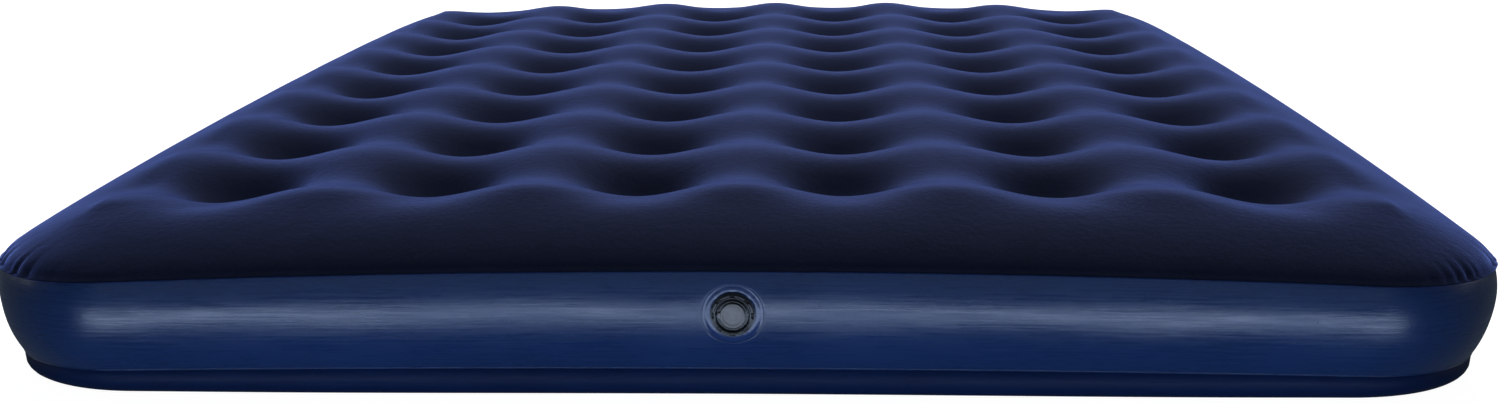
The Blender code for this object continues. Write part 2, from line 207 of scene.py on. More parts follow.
# ---- outline ------------------------------------------------------------------------------
def perimeter(steps):
    """Side number and share from -1 to 1 along it, for each point round the mattress."""
    sides = []
    shares = []
    for side, cells in enumerate((COLUMNS, ROWS, COLUMNS, ROWS)):
        count = cells * steps
        sides.append(np.full(count, side))
        shares.append(2 * np.arange(count) / count - 1)
    return np.concatenate(sides), np.concatenate(shares)


def turned_to_side(sides, along, outward):
    """x and y from a place along a side and a distance outwards from the middle."""
    x = np.choose(sides, (along, outward, -along, -outward))
    y = np.choose(sides, (-outward, along, outward, -along))
    return x, y


def wall_frame(sides, shares):
    half_run = np.where(sides % 2 == 0, RUN_X, RUN_Y)
    reach = np.where(sides % 2 == 0, HALF_LENGTH, HALF_WIDTH)
    along = shares * (half_run + CORNER * math.pi / 4)
    straight = np.clip(along, -half_run, half_run)
    turn = (along - straight) / CORNER
    hollow = np.where(sides % 2 == 0, END_HOLLOW, SIDE_HOLLOW)
    stand = hollow * (1 - (straight / half_run) ** 2)
    return straight, turn, reach - stand - CORNER


def outline(sides, shares, inset):
    straight, turn, base = wall_frame(sides, shares)
    radius = CORNER - inset
    return turned_to_side(sides, straight + radius * np.sin(turn),
                          base + radius * np.cos(turn))


def arc_length(sides, shares):
    """Distance round the outline, which puckers and ripples are laid along."""
    half = np.where(sides % 2 == 0, RUN_X, RUN_Y) + CORNER * math.pi / 4
    starts = np.array([0.0, RUN_X, RUN_X + RUN_Y, 2 * RUN_X + RUN_Y]) * 2
    return starts[sides] + (shares + 1) * half


def cornerness(sides, shares):
    turn = wall_frame(sides, shares)[1]
    return smoothstep(0.02, 0.40, np.abs(turn))


def droop_at(x, y, droop):
    return droop * (x / HALF_WIDTH) ** 2 * (y / HALF_LENGTH) ** 2


def puckers(length):
    """Sharp folds along the weld, PUCKER_GAP apart: 0 on the crowns to -1 in the creases."""
    wander = 1.7 * np.sin(length / 0.047 + PUCKER_PHASE)
    wander += 1.1 * np.sin(length / 0.019 + 2 * PUCKER_PHASE)
    wave = np.abs(np.sin(math.pi * length / PUCKER_GAP + wander))
    strength = 0.6 + 0.4 * np.sin(length / 0.023 + 3 * PUCKER_PHASE)
    return (wave ** 0.7 - 1) * strength


# ---- sleeping surface ---------------------------------------------------------------------
def even_place(row, column):
    """Centre of a dimple's square."""
    return (column - (COLUMNS - 1) / 2) * PITCH, (row - (ROWS - 1) / 2) * PITCH


def dimple_grid():
    """Centre and depth of each dimple, with one more row all round to keep the edges even."""
    dimples = []
    for row in range(-1, ROWS + 1):
        for column in range(-1, COLUMNS + 1):
            inner = 0 <= row < ROWS and 0 <= column < COLUMNS
            slip = rng.normal(0, 0.0016, 2) if inner else np.zeros(2)
            depth = 1 + (rng.normal(0, 0.025) if inner else 0.0)
            even_x, even_y = even_place(row, column)
            dimples.append((row, column, even_x + slip[0], even_y + slip[1], depth))
    return dimples


DIMPLES = dimple_grid()
WELDED = [dimple for dimple in DIMPLES if 0 <= dimple[0] < ROWS and 0 <= dimple[1] < COLUMNS]


def crown(x, y):
    across, along = (x / HALF_WIDTH) ** 2, (y / HALF_LENGTH) ** 2
    return CROWN_ACROSS * across + CROWN_ALONG * along + CORNER_FALL * across ** 2 * along ** 2


def dimple_shape(radius):
    far = np.maximum(0.0, radius - WELD_RADIUS) / DIMPLE_REACH
    return np.exp(-far ** DIMPLE_POWER)


def top_height(x, y):
    across = np.cos(2 * math.pi * (x / PITCH - (COLUMNS - 1) / 2))
    along = np.cos(2 * math.pi * (y / PITCH - (ROWS - 1) / 2))
    z = CREST - crown(x, y) - WAVE * (1 + (across + along) / 2)
    for _, _, centre_x, centre_y, depth in DIMPLES:
        z -= DIMPLE_DEPTH * depth * dimple_shape(np.hypot(x - centre_x, y - centre_y))
    ripple = np.sin(x * 23 + 1.3 * np.sin(y * 11)) * np.sin(y * 19 + 1.1 * np.sin(x * 13))
    return z + 0.0006 * ripple


def lattice_points(surface, height):
    """Vertices on the lines between the dimples' squares, keyed by steps."""
    keys = []
    for i in range(COLUMNS * STEPS + 1):
        for j in range(ROWS * STEPS + 1):
            if i % STEPS == 0 or j % STEPS == 0:
                keys.append((i, j))
    places = np.array(keys, float) * PITCH / STEPS
    x = places[:, 0] - COLUMNS * PITCH / 2
    y = places[:, 1] - ROWS * PITCH / 2
    index = surface.add(np.column_stack((x, y, height(x, y))))
    return dict(zip(keys, index))


def cell_rim(lattice, row, column):
    left, front = column * STEPS, row * STEPS
    keys = [(left + k, front) for k in range(STEPS)]
    keys += [(left + STEPS, front + k) for k in range(STEPS)]
    keys += [(left + STEPS - k, front + STEPS) for k in range(STEPS)]
    keys += [(left, front + STEPS - k) for k in range(STEPS)]
    return [lattice[key] for key in keys]


def lattice_border(lattice):
    right, back = COLUMNS * STEPS, ROWS * STEPS
    keys = [(k, 0) for k in range(right)]
    keys += [(right, k) for k in range(back)]
    keys += [(right - k, back) for k in range(right)]
    keys += [(0, back - k) for k in range(back)]
    return [lattice[key] for key in keys]


def square_rim(centre_x, centre_y):
    """x and y of the square round a dimple, in the same order as cell_rim."""
    side = np.arange(STEPS) / STEPS - 0.5
    half = np.full(STEPS, 0.5)
    x = np.concatenate((side, half, -side, -half)) * PITCH + centre_x
    y = np.concatenate((-half, side, half, -side)) * PITCH + centre_y
    return x, y


def build_cells(surface, lattice, height, weld_radius, ring_shares, inner_radii, flip=False):
    angles = -3 * math.pi / 4 + 2 * math.pi * np.arange(4 * STEPS) / (4 * STEPS)
    for row, column, centre_x, centre_y, _ in WELDED:
        rim_x, rim_y = square_rim(*even_place(row, column))
        disc_x = centre_x + weld_radius * np.cos(angles)
        disc_y = centre_y + weld_radius * np.sin(angles)
        last = cell_rim(lattice, row, column)
        for share in ring_shares:
            x = rim_x + (disc_x - rim_x) * share
            y = rim_y + (disc_y - rim_y) * share
            ring = surface.add(np.column_stack((x, y, height(x, y))))
            surface.join(last, ring, flip)
            last = ring
        for radius in inner_radii:
            x = centre_x + radius * np.cos(angles)
            y = centre_y + radius * np.sin(angles)
            ring = surface.add(np.column_stack((x, y, height(x, y))))
            surface.join(last, ring, flip)
            last = ring
        surface.close(last, flip)


def weld_marks(x, y):
    """Height of the marks of the weld discs: two pressed rings, and short pleats round them."""
    mark = np.zeros(x.shape)
    for row, column, centre_x, centre_y, _ in WELDED:
        radius = np.hypot(x - centre_x, y - centre_y)
        angle = np.arctan2(y - centre_y, x - centre_x)
        near = np.abs(radius - WELD_RADIUS) < 0.03
        pleats = np.cos(20 * angle + row * 1.7 + column)
        pleats *= np.exp(-((radius - WELD_RADIUS - 0.005) / 0.006) ** 2)
        pressed = np.exp(-((radius - WELD_RADIUS + 0.0025) / 0.0022) ** 2)
        inner = np.exp(-((radius - 0.014) / 0.0025) ** 2)
        mark += np.where(near, 0.0007 * pleats - 0.0011 * pressed - 0.0006 * inner, 0.0)
    return mark


def build_top(material):
    surface = Surface()

    def height(x, y):
        return top_height(x, y) + weld_marks(x, y)

    lattice = lattice_points(surface, height)
    build_cells(surface, lattice, height, WELD_RADIUS, CELL_SHARES, DISC_RADII)

    border = lattice_border(lattice)
    points = np.concatenate(surface.points)[border]
    sides, shares = perimeter(STEPS)
    last = border
    for share in SHOULDER_COARSE:
        place = shoulder(points, sides, shares, share)
        ring = surface.add(softened(place, share, SOFT_STEPS))
        surface.bridge(ring, last)
        last = ring
    fine_sides, fine_shares = perimeter(STEPS * REFINE)
    fine_points = spread(points, REFINE)
    for step, share in enumerate(SHOULDER_FINE):
        place = shoulder(fine_points, fine_sides, fine_shares, share)
        ring = surface.add(softened(place, share, SOFT_STEPS * REFINE))
        if step == 0:
            surface.fan_out(ring, last)
        else:
            surface.bridge(ring, last)
        last = ring
    seam_x, seam_y = outline(fine_sides, fine_shares, 0.0)
    seam = TOP_SEAM - droop_at(seam_x, seam_y, SEAM_DROOP)
    corner = cornerness(fine_sides, fine_shares)
    frill = 0.0012 * corner * puckers(arc_length(fine_sides, fine_shares))
    for inset, rise in SEAM_LIP:
        x, y = outline(fine_sides, fine_shares, inset - 0.0016 * corner - frill)
        ring = surface.add(np.column_stack((x, y, seam + rise + 0.6 * frill)))
        surface.bridge(ring, last)
        last = ring
    return surface.build("flocked_top_sheet", material)


def spread(points, times):
    """Straight steps between the points of a ring."""
    following = np.roll(points, -1, axis=0)
    parts = [points + (following - points) * k / times for k in range(times)]
    return np.stack(parts, axis=1).reshape(-1, 3)


def softened(points, share, width):
    """Rounds a shoulder ring's corners off, most between the sleeping surface and the weld."""
    wave = 2 * math.pi * np.fft.rfftfreq(len(points))
    smooth = np.fft.rfft(points, axis=0) * np.exp(-0.5 * (wave * width) ** 2)[:, None]
    weight = smoothstep(0.0, 0.6, share) * smoothstep(0.94, 0.66, share)
    return points + (np.fft.irfft(smooth, len(points), axis=0) - points) * weight


def shoulder(points, sides, shares, share):
    """A ring between the sleeping surface and the weld, rounded over like a filled tube."""
    x, y = outline(sides, shares, TOP_INSET)
    seam = TOP_SEAM + 0.0006 - droop_at(x, y, SEAM_DROOP)
    left = 1 - share
    power, root = SHOULDER_ROUND
    corner = cornerness(sides, shares)
    rise = (1 - (1 - left) ** power) ** root
    rise += CORNER_FULLNESS * corner * (rise - left ** 0.9)
    place_x = points[:, 0] + (x - points[:, 0]) * share
    place_y = points[:, 1] + (y - points[:, 1]) * share
    length = arc_length(sides, shares)
    out = np.hypot(x - place_x, y - place_y)
    gone = np.hypot(points[:, 0] - place_x, points[:, 1] - place_y)
    even = CREST - RIDGE_DIP - crown(points[:, 0], points[:, 1])
    ridge = even + (points[:, 2] - even) * np.exp(-(gone / RIDGE_FADE) ** 1.5)
    depth = (PUCKER_DEPTH * corner + 0.0002) * np.exp(-((out / PUCKER_LENGTH) ** 1.5))
    fold = depth * puckers(length)
    _, turn, _ = wall_frame(sides, shares)
    out_x, out_y = turned_to_side(sides, np.sin(turn), np.cos(turn))
    z = seam + (ridge - seam) * rise
    return np.column_stack((place_x + out_x * fold, place_y + out_y * fold, z + 0.4 * fold))


# ---- side band ----------------------------------------------------------------------------
def band_inset(share):
    straight = TOP_INSET + (LOW_INSET - TOP_INSET) * share
    return straight - BULGE * (1 - np.abs(2 * share - 1) ** 2.2)


def band_height(x, y, share):
    top = BAND_TOP - droop_at(x, y, SEAM_DROOP)
    low = BAND_LOW - droop_at(x, y, LOW_DROOP)
    return top + (low - top) * share


def band_ripple(length, share):
    """Slight unevenness of the blown-up film, and pulls that run down from the top weld."""
    slow = np.sin(length * 21) * np.sin(share * 5 + length * 3) * 0.0004
    pulls = 0.0005 * np.exp(-share / 0.10) * np.sin(length * 230 + 3 * np.sin(length * 17))
    return (slow + pulls) * np.sin(math.pi * share)


def front_wall(x, z):
    """y of the front wall at a place across it and a height."""
    share = np.clip((BAND_TOP - z) / (BAND_TOP - BAND_LOW), 0, 1)
    stand = END_HOLLOW * (1 - (x / RUN_X) ** 2)
    return -(HALF_LENGTH - stand - band_inset(share))


def flattened(x, y, z):
    """y of the band, pulled onto the flat at the middle of the valve's collar."""
    away = np.hypot(x - VALVE.x, z - VALVE.z)
    bulged = smoothstep(PATCH_FLAT, PATCH_BLEND, away)
    on_front = y < 0
    return np.where(on_front, VALVE.y + (y - VALVE.y) * bulged, y)


def build_band(material):
    surface = Surface()
    sides, shares = perimeter(STEPS * 2)
    length = arc_length(sides, shares)
    corner = cornerness(sides, shares)
    rows = (1 - np.cos(math.pi * np.linspace(0.03, 0.97, BAND_ROWS))) / 2
    rows = (rows - rows[0]) / (rows[-1] - rows[0])
    rings = []
    spots = []
    for share in rows:
        pinch = 0.0014 * corner * puckers(length) * math.exp(-share / 0.06)
        inset = band_inset(share) + band_ripple(length, share) - pinch
        x, y = outline(sides, shares, inset)
        z = band_height(x, y, share)
        y = flattened(x, y, z)
        rings.append(surface.add(np.column_stack((x, y, z))))
        spots.append((x, z))
    inner_x, inner_y = outline(sides, shares, TUCK_INSET)
    tuck = surface.add(np.column_stack((inner_x, inner_y, band_height(inner_x, inner_y, 0.0))))
    surface.bridge(rings[0], tuck)
    last = rings[-1]
    for inset, rise in BAND_LIP:
        x, y = outline(sides, shares, inset)
        ring = surface.add(np.column_stack((x, y, band_height(x, y, 1.0) + rise)))
        surface.bridge(ring, last)
        last = ring

    count = len(sides)
    heights = np.array([spot[1][COLUMNS * STEPS] for spot in spots])
    across = spots[0][0]
    front = range(COLUMNS * STEPS * 2)
    held = [k for k in front if abs(across[k] - VALVE.x) < PATCH_HALF]
    left, right = held[0], held[-1]
    inside = [r for r in range(len(rows)) if abs(heights[r] - VALVE.z) < PATCH_HALF]
    upper, lower = inside[0], inside[-1]
    for r in range(len(rows) - 1):
        for a in range(count):
            b = (a + 1) % count
            in_hole = upper <= r < lower and left <= a < right
            if not in_hole:
                upper_ring, lower_ring = rings[r], rings[r + 1]
                surface.close((lower_ring[a], lower_ring[b], upper_ring[b], upper_ring[a]))
    rim = [rings[lower][k] for k in range(left, right)]
    rim += [rings[r][right] for r in range(lower, upper, -1)]
    rim += [rings[upper][k] for k in range(right, left, -1)]
    rim += [rings[r][left] for r in range(upper, lower)]
    points = np.concatenate(surface.points)[rim]
    angle = np.arctan2(points[:, 2] - VALVE.z, points[:, 0] - VALVE.x)
    hole_x = VALVE.x + HOLE_RADIUS * np.cos(angle)
    hole_z = VALVE.z + HOLE_RADIUS * np.sin(angle)
    last = rim
    for share in HOLE_SHARES:
        x = points[:, 0] + (hole_x - points[:, 0]) * share
        z = points[:, 2] + (hole_z - points[:, 2]) * share
        y = flattened(x, front_wall(x, z), z)
        ring = surface.add(np.column_stack((x, y, z)))
        surface.bridge(last, ring)
        last = ring
    inward = surface.add(np.column_stack((hole_x, y + 0.6 * MM, hole_z)))
    surface.bridge(last, inward)
    return surface.build("vinyl_side_band", material)


# ---- underside ----------------------------------------------------------------------------
def build_bottom(material):
    surface = Surface()

    def height(x, y):
        z = np.zeros(x.shape)
        for _, _, centre_x, centre_y, _ in WELDED:
            radius = np.hypot(x - centre_x, y - centre_y)
            z += LOW_WELD * (1 - smoothstep(0.036, 0.080, radius))
        return z

    lattice = lattice_points(surface, height)
    shares = np.linspace(0, 1, 8)[1:]
    build_cells(surface, lattice, height, WELD_RADIUS, shares, UNDER_RADII, flip=True)
    border = lattice_border(lattice)
    points = np.concatenate(surface.points)[border]
    sides, shares = perimeter(STEPS)
    last = border
    for share in HEM_COARSE:
        ring = surface.add(hem(points, sides, shares, share))
        surface.bridge(last, ring)
        last = ring
    fine_sides, fine_shares = perimeter(STEPS * 2)
    fine_points = spread(points, 2)
    for step, share in enumerate(HEM_FINE):
        ring = surface.add(hem(fine_points, fine_sides, fine_shares, share))
        if step == 0:
            surface.fan_out(ring, last, flip=True)
        else:
            surface.bridge(last, ring)
        last = ring
    x, y = outline(fine_sides, fine_shares, LIP_INSET)
    tuck = surface.add(np.column_stack((x, y, HEM_TOP - droop_at(x, y, LOW_DROOP))))
    surface.bridge(last, tuck)
    return surface.build("vinyl_bottom_sheet", material)


def hem(points, sides, shares, share):
    """A ring between the flat of the underside and the lower weld."""
    x, y = outline(sides, shares, LOW_INSET + 0.0002)
    seam = HEM_TOP - droop_at(x, y, LOW_DROOP)
    place_x = points[:, 0] + (x - points[:, 0]) * share
    place_y = points[:, 1] + (y - points[:, 1]) * share
    away = np.hypot(x - place_x, y - place_y)
    near_corner = ((x / HALF_WIDTH) ** 2 * (y / HALF_LENGTH) ** 2) ** 2
    reach = HEM_REACH + (HEM_REACH_CORNER - HEM_REACH) * near_corner
    inward = np.clip(1 - away / reach, 0, 1)
    rise = 1 - (1 - inward ** HEM_SQUARE) ** (1 / HEM_SQUARE)
    return np.column_stack((place_x, place_y, points[:, 2] * (1 - share) + seam * rise))


# ---- coil beams ---------------------------------------------------------------------------
def beam_top(centre, ceiling):
    """The tube stops just under the lowest point of the sheet above its rim."""
    angle = np.linspace(0, 2 * math.pi, 16, endpoint=False)
    sheet = top_height(centre.x + BEAM_RADIUS * np.cos(angle),
                       centre.y + BEAM_RADIUS * np.sin(angle))
    return min(ceiling, float(sheet.min()) - BEAM_SINK)


def build_beam(row, column, material):
    """A tube of film, waisted by the tension between its two welds, with soft pleats."""
    sides = 40
    surface = Surface()
    name = f"coil_beam_r{row}_c{column}"
    low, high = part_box(name)
    centre = (low + high) / 2
    top = beam_top(centre, high.z)
    angle = 2 * math.pi * np.arange(sides) / sides
    rings = []
    for share in np.linspace(0, 1, 13):
        waist = 0.0035 * math.sin(math.pi * share)
        pleat = 0.0006 * math.sin(math.pi * share) * np.cos(9 * angle + row + 2 * column)
        radius = BEAM_RADIUS - waist + pleat
        z = low.z + (top - low.z) * share
        rings.append(surface.add(np.column_stack((centre.x + radius * np.cos(angle),
                                                  centre.y + radius * np.sin(angle),
                                                  np.full(sides, z)))))
    for ring, following in zip(rings, rings[1:]):
        surface.bridge(ring, following)
    thing = surface.build(f"coil_tube_r{row}_c{column}", material)
    return finish_piece(thing, "mattress", "beam_vinyl", name)


# ---- turned valve pieces ------------------------------------------------------------------
# Outlines as (radius, depth) in millimetres; depth grows into the mattress.
COLLAR_OUTLINE = ((32.0, 0.8), (32.0, 1.8), (24.5, 1.8), (22.6, 3.2), (22.6, 14.0),
                  (20.0, 14.0), (20.0, -0.6), (22.4, -0.6), (24.6, -0.45), (26.2, 0.1),
                  (27.6, 0.75), (28.8, 0.8))
FLANGE_DEPTH = 3.5           # the collar follows the band down to here
SOCKET_RIM = 21.6
SOCKET_OUTLINE = ((SOCKET_RIM, -3.0), (SOCKET_RIM, -0.9), (19.7, -0.9), (19.7, 21.0),
                  (15.4, 21.0), (15.4, 19.6), (17.5, 19.6), (17.5, 12.0), (17.7, 11.0),
                  (17.7, -2.0), (17.9, -3.0))
KNURLS = 32
SEAL_CENTRE = (19.25, -3.8)
SEAL_HALF = (1.35, 0.5)
SEAL_SIDES = 14
SKIRT_RADIUS = 17.2
SKIRT_ROWS = [(SKIRT_RADIUS, -4.6 + row * 0.26) for row in range(1, 35)]
THREAD_PITCH = 4.0
THREAD_END = 4.2             # half the length of the threaded part
CAP_OUTLINE = ((20.4, -6.6), (20.4, -4.6), (17.3, -4.6), (SKIRT_RADIUS, 4.5), (15.2, 4.5),
               (15.2, -1.4), (9.7, -1.4), (9.7, 6.5), (7.5, 6.5), (7.5, -4.4), (9.9, -4.4),
               (9.9, -3.0), (15.6, -3.0), (16.0, -5.9), (16.9, -6.6), (17.6, -6.75),
               (18.2, -6.35), (19.0, -6.35), (19.5, -6.6))
CORNERS_BEFORE_SKIRT = 3
GRIPS = 8
CAP_RIBS = ((18, 162, (13.3, 14.5), (-5.4, -2.7)), (200, 340, (13.5, 14.3), (-3.7, -2.7)))
CAP_BLOCKS = (((-15.5, -5.1, -1.6), (-13.4, -2.6, 1.6), 0.3),
              ((13.6, -4.2, -2.6), (15.7, -2.6, -1.5), 0.25),
              ((13.6, -4.2, 1.5), (15.7, -2.6, 2.6), 0.25))
PLUG_OUTLINE = ((4.0, -5.92), (7.6, -5.95), (9.2, -6.0), (9.8, -6.35), (10.3, -6.6),
                (11.1, -6.62), (11.7, -6.4), (12.0, -6.0), (12.0, -5.2), (11.7, -4.75),
                (11.0, -4.7), (7.1, -4.7), (6.9, -4.4), (6.9, -1.5), (6.5, -1.1), (5.4, -1.1),
                (5.2, -1.5), (5.2, -4.0))
PLUG_STRAP = ((-14.1, -6.1, -2.5), (-10.6, -5.3, 2.5))
FILLET_STEPS = (0.0, 0.25, 0.5, 0.75, 1.0)


def rounded(profile, fillet):
    """The closed outline with each corner replaced by a small arc.  Millimetres."""
    points = np.array(profile, float)
    out = []
    for k in range(len(points)):
        here = points[k]
        before = points[k - 1] - here
        after = points[(k + 1) % len(points)] - here
        size_before, size_after = np.hypot(*before), np.hypot(*after)
        cut = min(fillet, 0.35 * size_before, 0.35 * size_after)
        start = here + before / size_before * cut
        end = here + after / size_after * cut
        for t in FILLET_STEPS:
            out.append((1 - t) ** 2 * start + 2 * t * (1 - t) * here + t * t * end)
    return np.array(out)


def round_valve(angle, radius, depth):
    """Places round the valve's axis, from radius and depth in millimetres."""
    radius, depth = radius * MM, depth * MM
    return np.column_stack(np.broadcast_arrays(VALVE.x + radius * np.cos(angle),
                                               VALVE.y + depth,
                                               VALVE.z + radius * np.sin(angle)))


def turned(profile, shape=None, sides=128):
    """Turns a closed (radius, depth) outline round the valve's axis.

    shape(angle, radius, depth) may return another radius and depth, all in millimetres.
    """
    surface = Surface()
    angle = 2 * math.pi * np.arange(sides) / sides
    rings = []
    for radius, depth in profile:
        radii = np.full(sides, radius)
        depths = np.full(sides, depth)
        if shape:
            radii, depths = shape(angle, radii, depths)
        rings.append(surface.add(round_valve(angle, radii, depths)))
    middle = profile.mean(axis=0)
    area = 0.0
    for (r1, d1), (r2, d2) in zip(profile, np.roll(profile, -1, axis=0)):
        area += (r1 - middle[0]) * (d2 - middle[1]) - (r2 - middle[0]) * (d1 - middle[1])
    for ring, following in zip(rings, rings[1:] + rings[:1]):
        surface.join(ring, following, area > 0)
    return surface


def bevelled_box(surface, low, high, bevel=0.3):
    """A rounded block: a small grid on a box, pushed onto a shape with soft edges."""
    low, high = np.array(low, float), np.array(high, float)
    centre, half = (low + high) / 2, (high - low) / 2
    bevel = min(bevel, *(0.49 * 2 * half))
    stops = []
    for k in range(3):
        inner = half[k] - bevel
        edge = inner + bevel * 0.3
        stops.append([-half[k], -edge, -inner, inner, edge, half[k]])
    index = {}

    def vertex(i, j, k):
        if (i, j, k) not in index:
            point = np.array((stops[0][i], stops[1][j], stops[2][k]))
            core = np.clip(point, -(half - bevel), half - bevel)
            away = point - core
            size = np.linalg.norm(away)
            if size > 1e-9:
                point = core + away / size * bevel
            place = (centre + point) * MM
            index[i, j, k] = surface.add([[VALVE.x + place[0], VALVE.y + place[1],
                                           VALVE.z + place[2]]])[0]
        return index[i, j, k]

    for axis in range(3):
        for end in (0, 5):
            for a in range(5):
                for b in range(5):
                    quad = []
                    for da, db in ((0, 0), (1, 0), (1, 1), (0, 1)):
                        place = [0, 0, 0]
                        place[axis] = end
                        place[(axis + 1) % 3] = a + da
                        place[(axis + 2) % 3] = b + db
                        quad.append(vertex(*place))
                    surface.close(quad, flip=not end)


def raised_arc(surface, start, end, radii, depths, steps=40):
    """A raised rib that follows part of a circle, closed at both ends.  Degrees, mm."""
    section = rounded(((radii[0], depths[0]), (radii[1], depths[0]), (radii[1], depths[1]),
                       (radii[0], depths[1])), 0.35)
    rings = []
    for angle in np.radians(np.linspace(start, end, steps)):
        rings.append(surface.add(round_valve(angle, section[:, 0], section[:, 1])))
    for ring, following in zip(rings, rings[1:]):
        surface.bridge(ring, following)
    surface.close(rings[0], flip=True)
    surface.close(rings[-1])


def build_collar(material):
    def follow_band(angle, radius, depth):
        x = VALVE.x + radius * MM * np.cos(angle)
        z = VALVE.z + radius * MM * np.sin(angle)
        bent = (flattened(x, front_wall(x, z), z) - VALVE.y) / MM
        return radius, depth + np.where(depth < FLANGE_DEPTH, bent, 0.0)

    profile = rounded(COLLAR_OUTLINE, 0.6)
    return turned(profile, follow_band).build("valve_collar_ring", material)


def build_socket(material):
    def knurl(angle, radius, depth):
        on_rim = np.abs(radius - SOCKET_RIM) < 0.3
        cut = 0.22 * (np.cos(KNURLS * angle) > 0.55)
        return np.where(on_rim, radius - cut, radius), depth

    profile = rounded(SOCKET_OUTLINE, 0.35)
    return turned(profile, knurl).build("valve_socket", material, 35)


def build_seal(material):
    angle = 2 * math.pi * np.arange(SEAL_SIDES) / SEAL_SIDES
    profile = np.column_stack((SEAL_CENTRE[0] + SEAL_HALF[0] * np.cos(angle),
                               SEAL_CENTRE[1] + SEAL_HALF[1] * np.sin(angle)))
    return turned(profile, sides=96).build("cap_seal_ring", material)


def grip(angle, radius, depth):
    """Scooped notches round the cap's rim."""
    notch = np.clip((np.cos(GRIPS * angle) - 0.60) / 0.25, 0, 1) ** 0.5
    outer = np.clip((radius - 17.8) / 1.2, 0, 1)
    front = np.clip((-4.9 - depth) / 1.2, 0, 1)
    return radius - 1.5 * notch * outer * (depth < -4.0), depth + 1.3 * notch * outer * front


def cap_profile():
    """Outline of the cap, with close rows on its skirt for the thread that build_cap cuts."""
    profile = rounded(CAP_OUTLINE, 0.4)
    skirt_start = CORNERS_BEFORE_SKIRT * len(FILLET_STEPS)
    return np.vstack((profile[:skirt_start], SKIRT_ROWS, profile[skirt_start:]))


def build_cap(material):
    def shape(angle, radius, depth):
        radius, depth = grip(angle, radius, depth)
        on_skirt = (np.abs(radius - SKIRT_RADIUS) < 0.05) & (np.abs(depth) < THREAD_END)
        phase = (depth / THREAD_PITCH - angle / (2 * math.pi)) % 1.0
        cut = 0.7 * np.clip(np.abs(phase - 0.5) * 4 - 0.9, 0, 1)
        return np.where(on_skirt, radius - cut, radius), depth

    surface = turned(cap_profile(), shape)
    for rib in CAP_RIBS:
        raised_arc(surface, *rib)
    for block in CAP_BLOCKS:
        bevelled_box(surface, *block)
    return surface.build("valve_cap", material, 40)


def build_plug(material):
    surface = Surface()
    sides = 96
    angle = 2 * math.pi * np.arange(sides) / sides
    rings = [surface.add(round_valve(angle, radius, depth)) for radius, depth in PLUG_OUTLINE]
    for ring, following in zip(rings, rings[1:]):
        surface.bridge(following, ring)
    surface.close(rings[0])
    surface.close(rings[-1], flip=True)
    bevelled_box(surface, *PLUG_STRAP)
    return surface.build("valve_plug", material, 40)


# ---- materials ----------------------------------------------------------------------------
LINT_COLOUR = (0.10, 0.13, 0.30)
SCUFF_COLOUR = (0.10, 0.14, 0.30)
FLOOR_GLOW = 0.97


class Recipe:
    """A node material built up from named steps, in metres on the object itself."""

    def __init__(self, name, colour, roughness, **constants):
        self.material = bpy.data.materials.new(name)
        self.material.use_nodes = True
        self.nodes = self.material.node_tree.nodes
        self.links = self.material.node_tree.links
        self.shader = self.nodes["Principled BSDF"]
        self.shader.inputs["Base Color"].default_value = (*colour, 1.0)
        self.shader.inputs["Roughness"].default_value = roughness
        for key, value in constants.items():
            self.shader.inputs[key.replace("_", " ")].default_value = value
        self.place = self.nodes.new("ShaderNodeTexCoord").outputs["Object"]

    def mapped(self, scale):
        node = self.nodes.new("ShaderNodeMapping")
        node.inputs["Scale"].default_value = scale
        self.links.new(self.place, node.inputs["Vector"])
        return node.outputs["Vector"]

    def noise(self, scale, detail=3.0, roughness=0.55, distortion=0.0):
        """Noise; scale is per metre, one number or one for each axis."""
        node = self.nodes.new("ShaderNodeTexNoise")
        per_axis = scale if isinstance(scale, tuple) else (scale,) * 3
        self.links.new(self.mapped(per_axis), node.inputs["Vector"])
        node.inputs["Scale"].default_value = 1.0
        node.inputs["Detail"].default_value = detail
        node.inputs["Roughness"].default_value = roughness
        node.inputs["Distortion"].default_value = distortion
        return node.outputs["Fac"]

    def cells(self, scale):
        node = self.nodes.new("ShaderNodeTexVoronoi")
        self.links.new(self.mapped((scale,) * 3), node.inputs["Vector"])
        node.inputs["Scale"].default_value = 1.0
        return node.outputs["Distance"]

    def ramp(self, value, low, high, start=0.0, end=1.0):
        node = self.nodes.new("ShaderNodeMapRange")
        self.links.new(value, node.inputs["Value"])
        for key, number in (("From Min", low), ("From Max", high), ("To Min", start),
                            ("To Max", end)):
            node.inputs[key].default_value = number
        return node.outputs["Result"]

    def maths(self, operation, first, second):
        node = self.nodes.new("ShaderNodeMath")
        node.operation = operation
        for socket, value in zip(node.inputs, (first, second)):
            if isinstance(value, (int, float)):
                socket.default_value = value
            else:
                self.links.new(value, socket)
        return node.outputs["Value"]

    def mix(self, share, first, second):
        node = self.nodes.new("ShaderNodeMix")
        node.data_type = "RGBA"
        self.links.new(share, node.inputs["Factor"])
        for socket, value in ((node.inputs[6], first), (node.inputs[7], second)):
            if isinstance(value, tuple):
                socket.default_value = (*value, 1.0)
            else:
                self.links.new(value, socket)
        return node.outputs[2]

    def colour(self, socket):
        self.links.new(socket, self.shader.inputs["Base Color"])

    def roughness(self, socket):
        self.links.new(socket, self.shader.inputs["Roughness"])

    def bump(self, layers):
        """Bumps one over another, each a height from 0 to 1 with its size in metres."""
        normal = None
        for value, size, strength in layers:
            node = self.nodes.new("ShaderNodeBump")
            node.inputs["Distance"].default_value = size
            node.inputs["Strength"].default_value = strength
            self.links.new(value, node.inputs["Height"])
            if normal is not None:
                self.links.new(normal, node.inputs["Normal"])
            normal = node.outputs["Normal"]
        self.links.new(normal, self.shader.inputs["Normal"])


